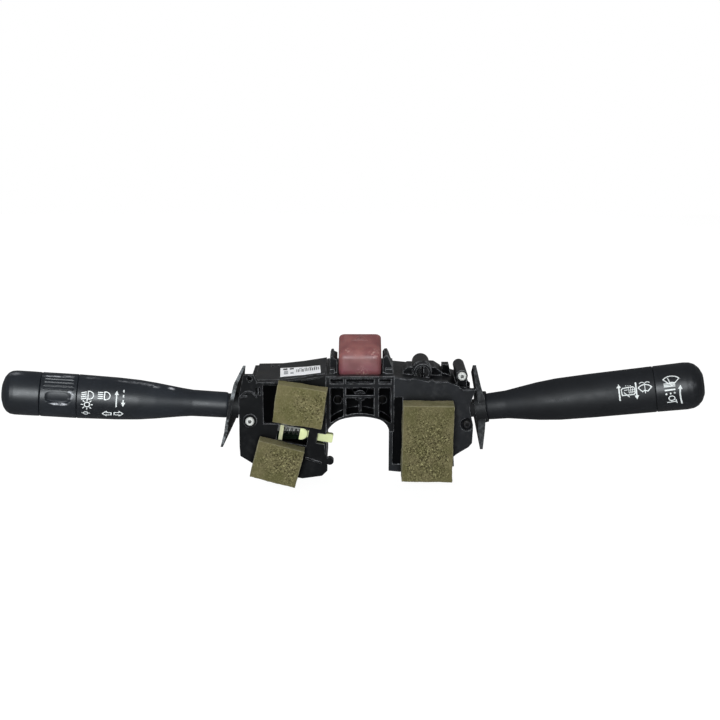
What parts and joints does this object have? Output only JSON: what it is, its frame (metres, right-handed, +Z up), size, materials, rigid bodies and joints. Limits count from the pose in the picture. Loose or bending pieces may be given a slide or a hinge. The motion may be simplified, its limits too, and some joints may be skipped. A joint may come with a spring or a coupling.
{
  "type": "combination stalk switch",
  "caption": "Steering-column combination switch: lighting stalk on the left, wiper stalk on the right, a ribbed bridge over the column arch and a hazard push button on top.",
  "frame": {"origin": "on the steering column's axis, at the middle of the switch front to back; the saddle's arch is centred on it", "axes": "+X to the wiper stalk, +Y along the column towards the dashboard, +Z up towards the hazard button; the driver sits on the -Y side"},
  "size_m": [0.4299, 0.0752, 0.0896],
  "materials": {
    "black_moulding": "satin black moulded nylon",
    "handle_black": "fine-grained satin black plastic, slight sheen",
    "fin_black": "thin black plastic with pale worn edges",
    "hazard_red": "dull translucent red, scuffed",
    "pawl_yellow": "pale yellow-green acetal",
    "cream_plastic": "cream acetal",
    "white_plastic": "natural acetal",
    "foam_olive": "open-cell olive foam",
    "screw_zinc": "bright zinc",
    "screw_black": "black oxide",
    "spring_steel": "drawn spring wire",
    "contact_brass": "tinned brass",
    "board_green": "laminate board",
    "connector_grey": "dark grey glass-filled nylon"
  },
  "bodies": {
    "frame": {"bracket": "black_moulding", "hazard_switch": "connector_grey", "hazard_spring": "spring_steel", "left_housing": "black_moulding", "left_cover": "black_moulding", "left_lid": "black_moulding", "left_cover_screw": "screw_zinc", "left_detent_leaf": "spring_steel", "left_contact_board": "board_green", "left_connector": "connector_grey", "left_terminals": "contact_brass", "left_foam_upper": "foam_olive", "left_foam_lower": "foam_olive", "pawl_spring": "spring_steel", "pawl_retainer": "cream_plastic", "right_housing": "black_moulding", "right_cover": "black_moulding", "right_cover_screw": "screw_black", "right_boss_screw": "screw_zinc", "right_barrel_plug": "connector_grey", "right_detent_leaf": "spring_steel", "right_contact_board": "board_green", "right_connector": "connector_grey", "right_terminals": "contact_brass", "right_foam": "foam_olive", "tie_screws": "screw_zinc"},
    "hazard": {"hazard_button": "hazard_red", "hazard_slider": "white_plastic"},
    "pawl": {"cancel_pawl": "pawl_yellow"},
    "left_gimbal": {"left_carrier": "white_plastic", "left_pivot_pin": "spring_steel", "left_contact_wiper": "contact_brass"},
    "left_lever": {"left_shaft": "black_moulding", "left_handle": "handle_black", "left_fin": "fin_black", "left_end_cap": "handle_black"},
    "light_ring": {"lighting_ring": "handle_black"},
    "right_gimbal": {"right_carrier": "white_plastic", "right_pivot_pin": "spring_steel", "right_contact_wiper": "contact_brass"},
    "right_lever": {"right_shaft": "black_moulding", "right_handle": "handle_black", "right_fin": "fin_black"},
    "wiper_dial": {"wiper_knob": "handle_black"}
  },
  "joints": [
    {"name": "hazard_press", "type": "slide", "parent": "frame", "child": "hazard", "axis": [0, 0, -1], "range_m": [0, 0.0045], "stiffness_N_per_m": 300, "springref_m": -0.003, "deforming": ["hazard_spring"]},
    {"name": "pawl_retract", "type": "slide", "parent": "frame", "child": "pawl", "axis": [-0.9848, 0, 0.1736], "range_m": [0, 0.004], "stiffness_N_per_m": 120, "springref_m": -0.003, "deforming": ["pawl_spring"]},
    {"name": "turn_signal", "type": "hinge", "parent": "frame", "child": "left_gimbal", "pos_m": [-0.046, 0, 0.0178], "axis": [0, 1, 0], "range_deg": [-9, 9]},
    {"name": "beam_flash", "type": "hinge", "parent": "left_gimbal", "child": "left_lever", "pos_m": [-0.046, 0, 0.0178], "axis": [0, 0, 1], "range_deg": [-4, 6], "stiffness_Nm_per_rad": 3},
    {"name": "light_ring_turn", "type": "hinge", "parent": "left_lever", "child": "light_ring", "pos_m": [-0.046, 0, 0.0178], "axis": [-0.9848, -0.1384, 0.1045], "range_deg": [0, 60]},
    {"name": "wiper_speed", "type": "hinge", "parent": "frame", "child": "right_gimbal", "pos_m": [0.046, 0, 0.0153], "axis": [0, -1, 0], "range_deg": [-12, 4.5]},
    {"name": "washer_pull", "type": "hinge", "parent": "right_gimbal", "child": "right_lever", "pos_m": [0.046, 0, 0.0153], "axis": [0, 0, -1], "range_deg": [-4, 5], "stiffness_Nm_per_rad": 3},
    {"name": "wiper_dial_turn", "type": "hinge", "parent": "right_lever", "child": "wiper_dial", "pos_m": [0.046, 0, 0.0153], "axis": [0.9719, -0.1714, 0.1616], "range_deg": [0, 75]}
  ]
}
